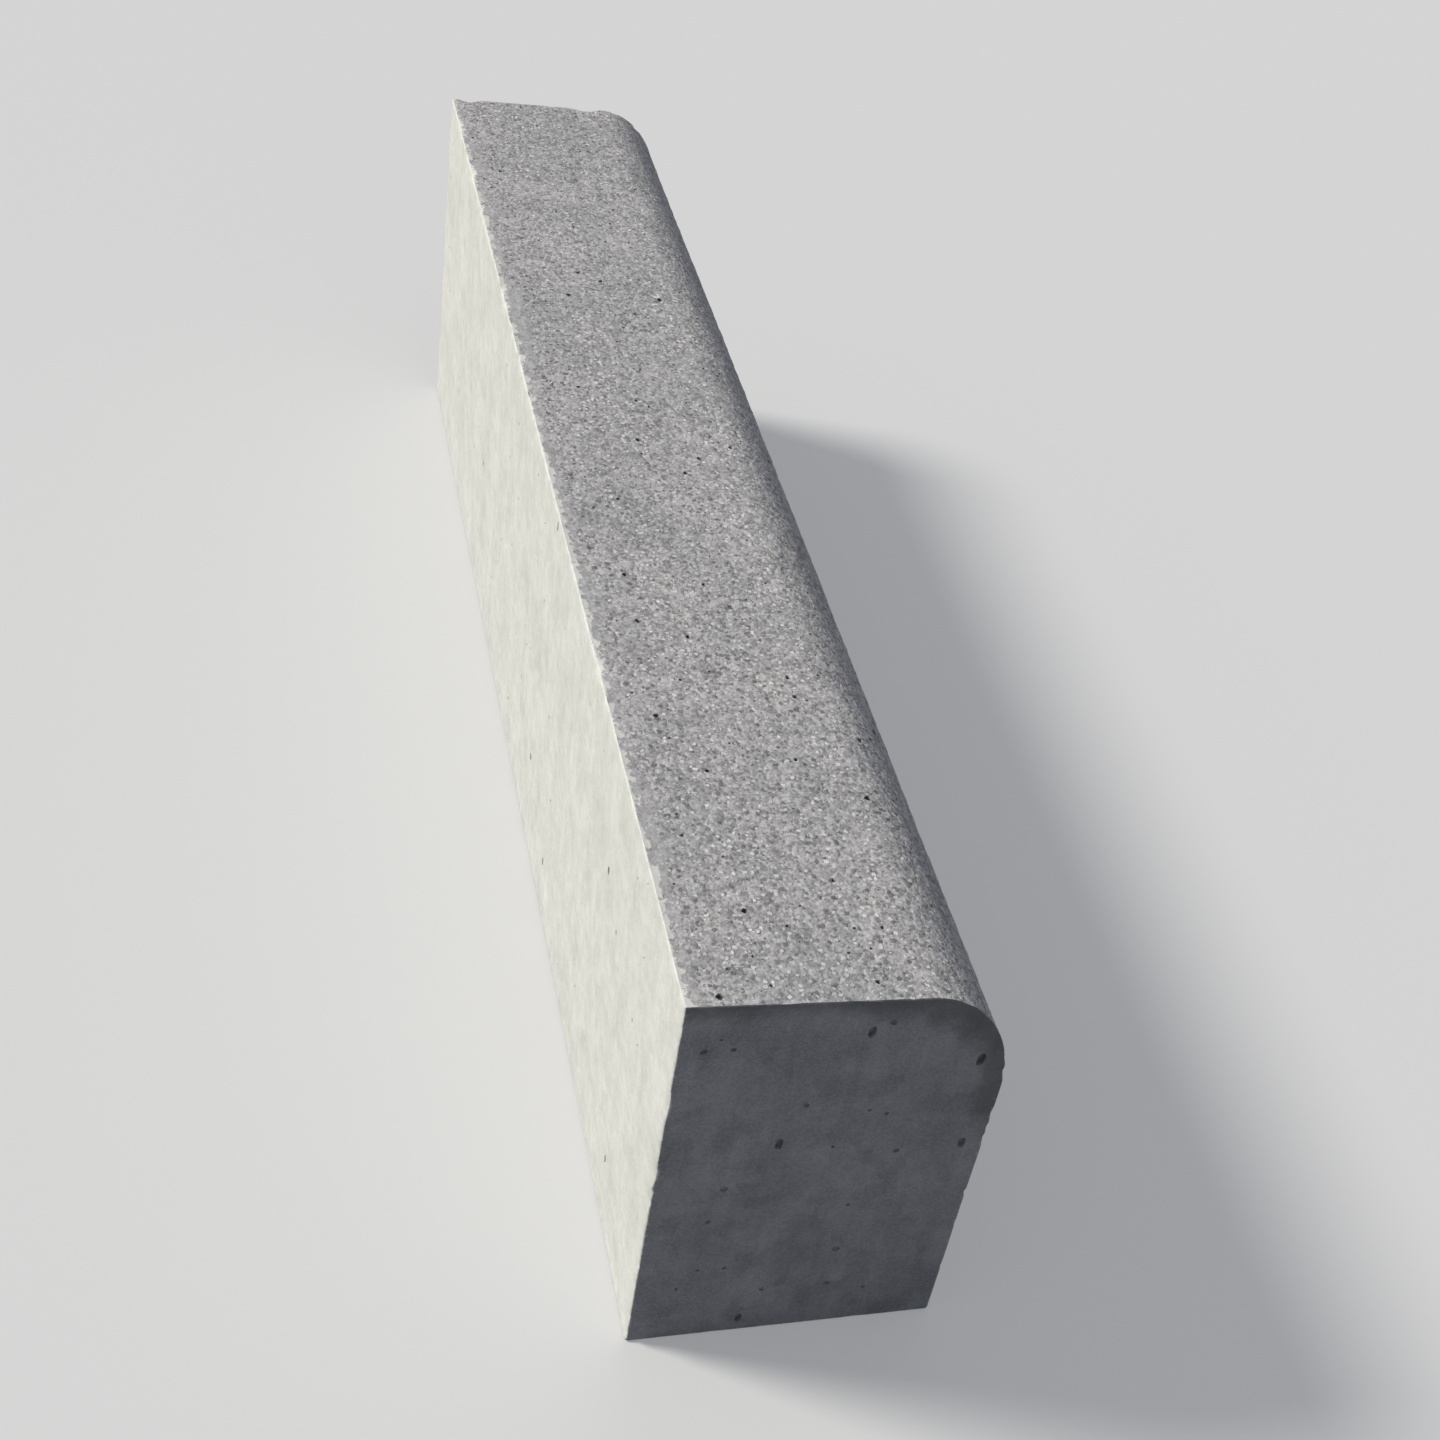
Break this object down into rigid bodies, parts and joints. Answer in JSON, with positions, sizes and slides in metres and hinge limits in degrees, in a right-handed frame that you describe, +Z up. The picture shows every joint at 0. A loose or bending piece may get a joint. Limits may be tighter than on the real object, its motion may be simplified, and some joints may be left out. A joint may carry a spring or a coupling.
{
  "type": "concrete kerb stone",
  "caption": "Precast concrete kerb stone: a long rectangular block whose speckled top falls gently to a broad rounded nose on the road side.",
  "frame": {"origin": "middle of the bed, the flat underside that the stone stands on", "axes": "+X along the stone, -Y towards the road, +Y towards the paving behind, +Z up"},
  "size_m": [1, 0.18, 0.2799],
  "materials": {
    "cast_concrete": "matte grey precast concrete: blasted speckled aggregate on the top, nose and road face, smooth from the mould elsewhere"
  },
  "bodies": {
    "root": {"kerb_stone": "cast_concrete"}
  },
  "joints": []
}
